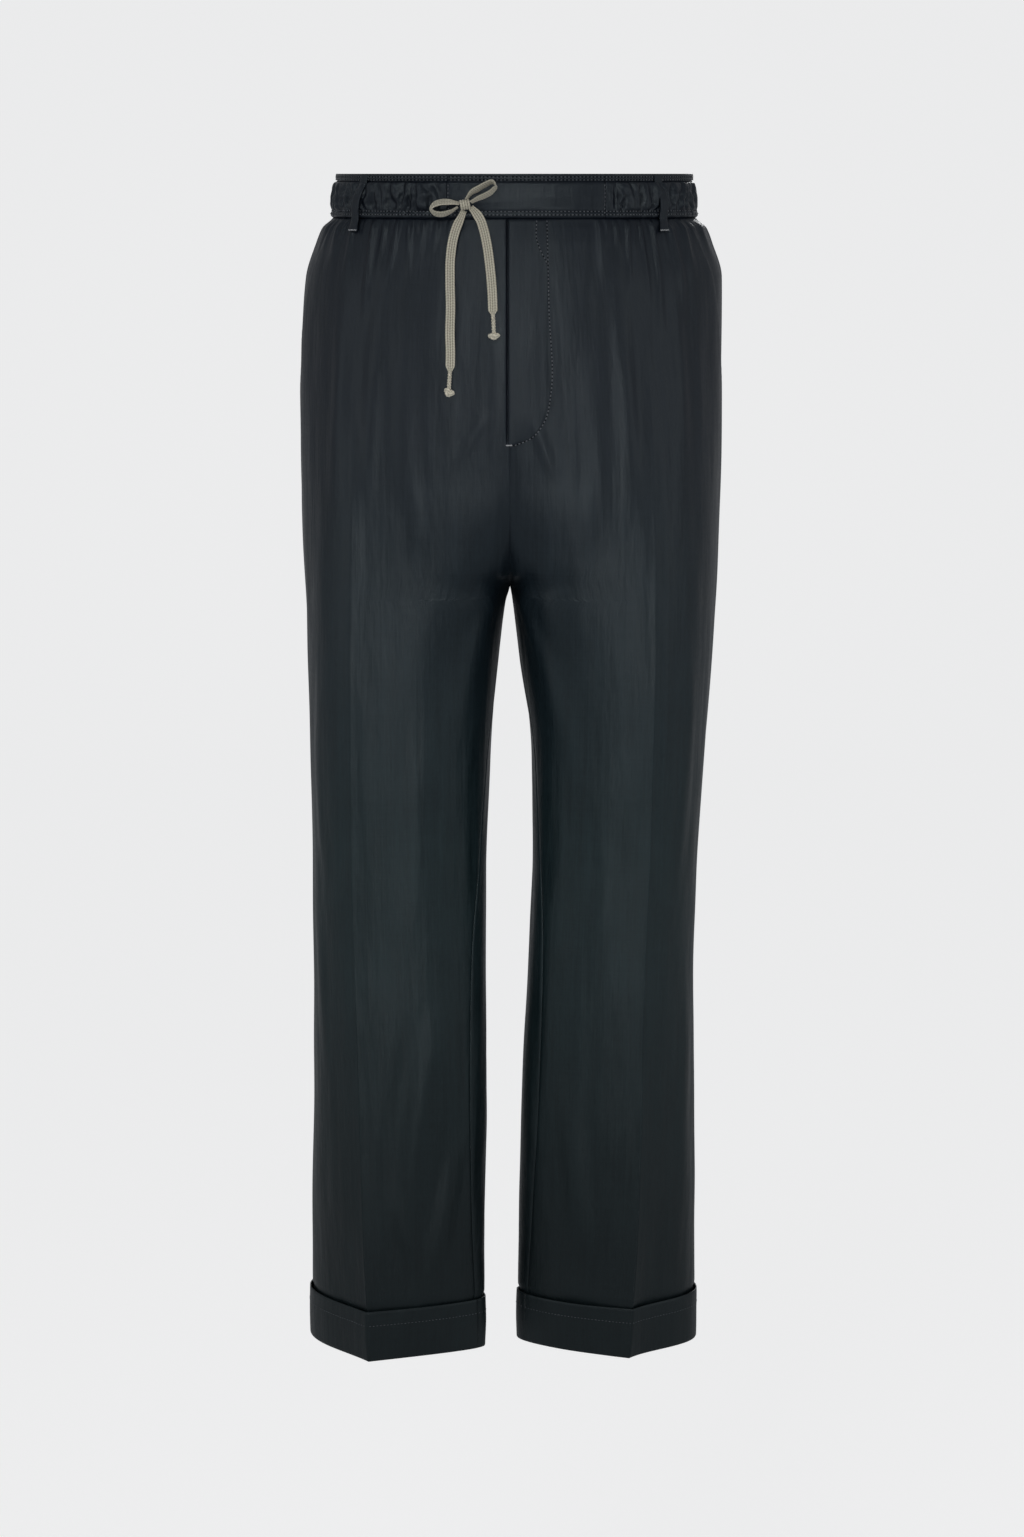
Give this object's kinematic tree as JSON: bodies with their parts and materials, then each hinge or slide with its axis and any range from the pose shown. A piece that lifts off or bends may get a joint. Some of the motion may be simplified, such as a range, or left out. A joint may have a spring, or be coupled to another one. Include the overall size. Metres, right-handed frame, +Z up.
{
  "type": "drawstring trousers",
  "caption": "Long straight trousers, hollow and filled out as if worn, with a gathered drawstring waist, fly, pressed creases and turned-up hems.",
  "frame": {"origin": "middle of the waist ring, on the centre seam's plane, halfway up the waistband", "axes": "+Z up, the front faces -Y, +X towards the wearer's left"},
  "size_m": [0.3767, 0.2708, 1.065],
  "materials": {
    "cloth": "fine plain weave with a soft satin sheen",
    "waistband": "the same cloth, gathered over elastic",
    "trim": "the same cloth, folded and stitched",
    "braid": "matt ribbed flat braid"
  },
  "bodies": {
    "root": {"front_right": "cloth", "front_left": "cloth", "back_right": "cloth", "back_left": "cloth", "waistband_front": "waistband", "waistband_elastic_right": "waistband", "waistband_elastic_left": "waistband", "fly_lap": "trim", "belt_loop_front_right": "trim", "belt_loop_front_left": "trim", "belt_loop_back_right": "trim", "belt_loop_back_left": "trim", "belt_loop_back_centre": "trim", "cuff_right": "trim", "cuff_left": "trim", "drawstring_knot": "braid", "drawstring_loop_right": "braid", "drawstring_loop_left": "braid", "drawstring_tail_right": "braid", "drawstring_tail_left": "braid", "drawstring_tip_right": "braid", "drawstring_tip_left": "braid", "drawstring_end_knot_right": "braid", "drawstring_end_knot_left": "braid"}
  },
  "joints": []
}
